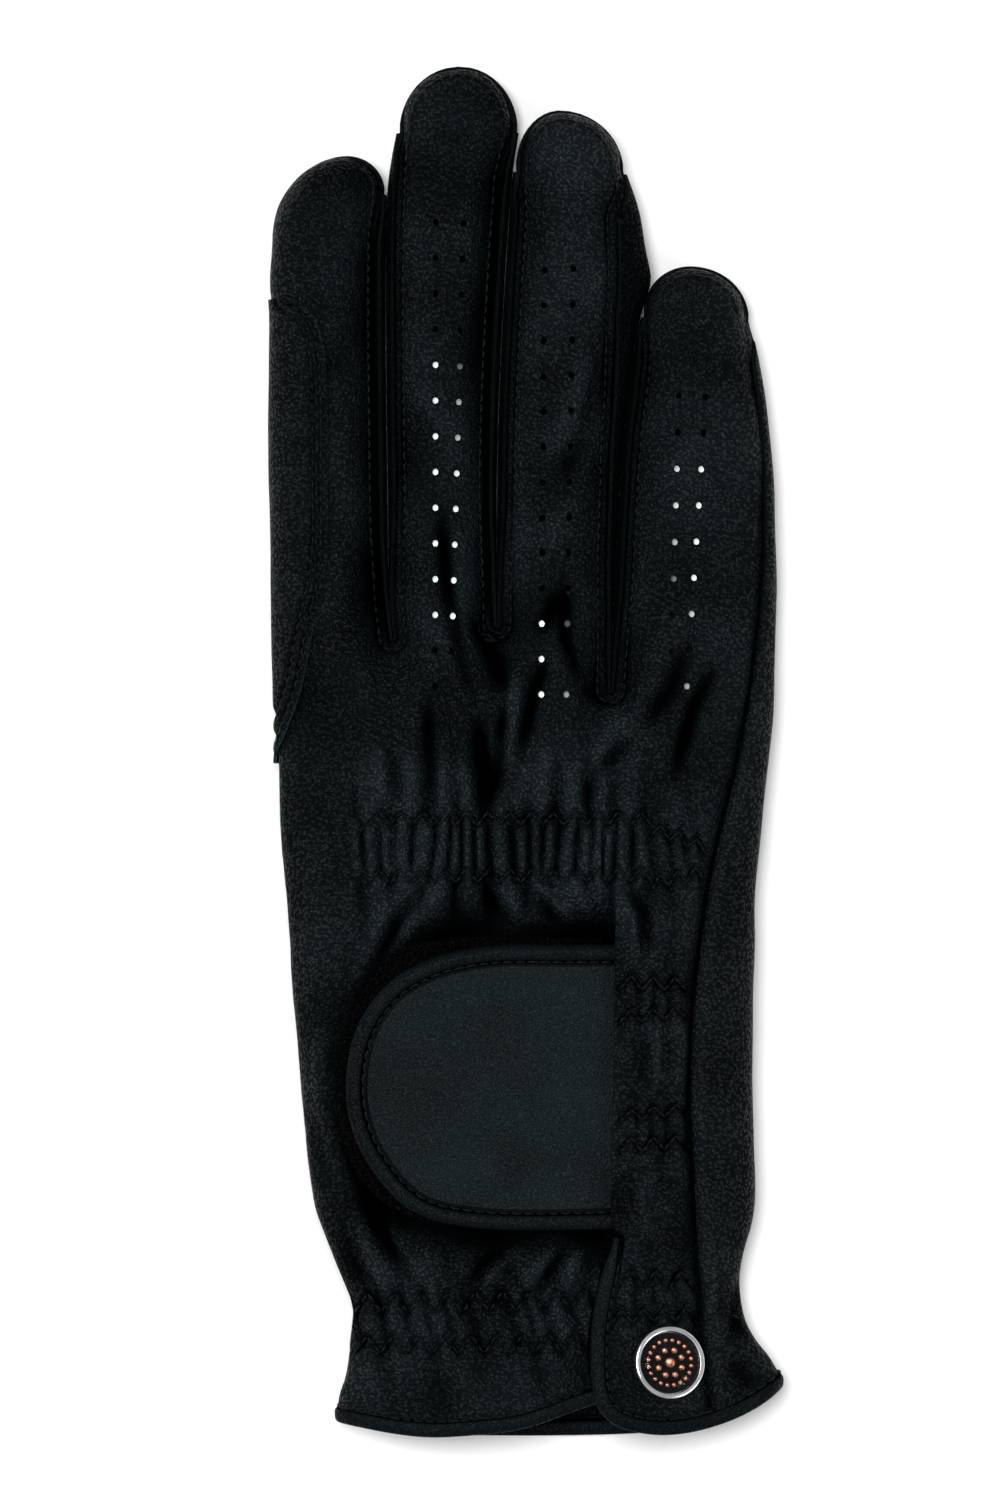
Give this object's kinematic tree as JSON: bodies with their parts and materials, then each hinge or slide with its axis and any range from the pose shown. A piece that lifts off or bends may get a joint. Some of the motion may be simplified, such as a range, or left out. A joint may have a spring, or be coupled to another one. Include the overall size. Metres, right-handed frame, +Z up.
{
  "type": "horse riding glove",
  "caption": "Right-hand leather riding glove lying palm down, with perforated finger backs, a gathered knuckle and wrist, a D-shaped closing tab, a vented cuff and a domed snap.",
  "frame": {"origin": "centre of the bounding box on the surface that the glove rests on", "axes": "+Y from the wrist to the fingertips, +X from the index side to the little-finger side, +Z up from the palm to the back of the hand"},
  "size_m": [0.0902, 0.2385, 0.0215],
  "materials": {
    "glove_leather": "fine grained, soft sheen",
    "patch_leather": "fine grained, raw teal cut edge",
    "tab_leather": "smooth, dry sheen",
    "binding_leather": "soft sheen",
    "loop_pile": "looped pile",
    "backing_cloth": "matt knit",
    "snap_metal": "polished",
    "snap_ground": "black with copper pattern",
    "snap_clear": "clear dome"
  },
  "bodies": {
    "root": {"back_panel": "glove_leather", "palm_panel": "glove_leather", "fourchette_index_middle": "glove_leather", "fourchette_middle_ring": "glove_leather", "fourchette_ring_little": "glove_leather", "thumb": "glove_leather", "index_patch": "patch_leather", "closure_tab": "tab_leather", "tab_binding": "binding_leather", "loop_pad": "loop_pile", "hem_binding": "binding_leather", "backing_middle": "backing_cloth", "backing_ring": "backing_cloth", "backing_little": "backing_cloth", "snap_cap": "snap_metal", "snap_inlay": "snap_ground", "snap_dome": "snap_clear"}
  },
  "joints": []
}
